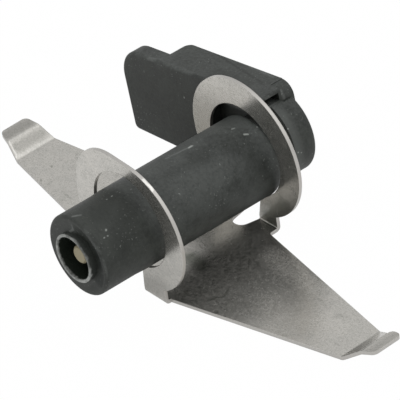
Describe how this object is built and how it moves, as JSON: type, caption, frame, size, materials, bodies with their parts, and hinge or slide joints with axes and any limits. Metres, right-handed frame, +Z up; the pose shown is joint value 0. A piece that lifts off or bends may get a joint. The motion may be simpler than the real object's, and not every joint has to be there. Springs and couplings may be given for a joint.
{
  "type": "camshaft position sensor",
  "caption": "Round-nosed engine position sensor with a right-angle plug socket, held in a folded spring clip with two long sprung wings and two upright ring-shaped ears.",
  "frame": {"origin": "middle of the clip plate's underside, halfway between its two ears", "axes": "+X along the clip's wings towards the longer stepped lip, +Y along the barrel from its nose towards the connector, +Z up out of the plate"},
  "size_m": [0.1153, 0.0615, 0.0339],
  "materials": {
    "clip_steel": "satin stainless sheet with fine scratches",
    "housing_plastic": "dull black moulding with a dusty surface",
    "sleeve_metal": "thin light-grey tube",
    "carrier_plastic": "black",
    "peg_plastic": "ivory",
    "chip_plastic": "black",
    "magnet_metal": "dark sintered",
    "pole_steel": "plain",
    "board_green": "solder mask",
    "component_tan": "ceramic",
    "component_black": "ceramic",
    "contact_metal": "tinned",
    "cover_plastic": "dull black"
  },
  "bodies": {
    "root": {"retaining_clip": "clip_steel", "sensor_housing": "housing_plastic", "sensing_sleeve": "sleeve_metal", "element_carrier": "carrier_plastic", "sensing_peg": "peg_plastic", "hall_chip": "chip_plastic", "bias_magnet": "magnet_metal", "back_pole": "pole_steel", "circuit_board": "board_green", "filter_capacitor": "component_tan", "load_resistor": "component_black", "rear_cover": "cover_plastic", "ground_terminal": "contact_metal", "signal_terminal": "contact_metal", "supply_terminal": "contact_metal", "ground_lead": "contact_metal", "signal_lead": "contact_metal", "supply_lead": "contact_metal"}
  },
  "joints": []
}
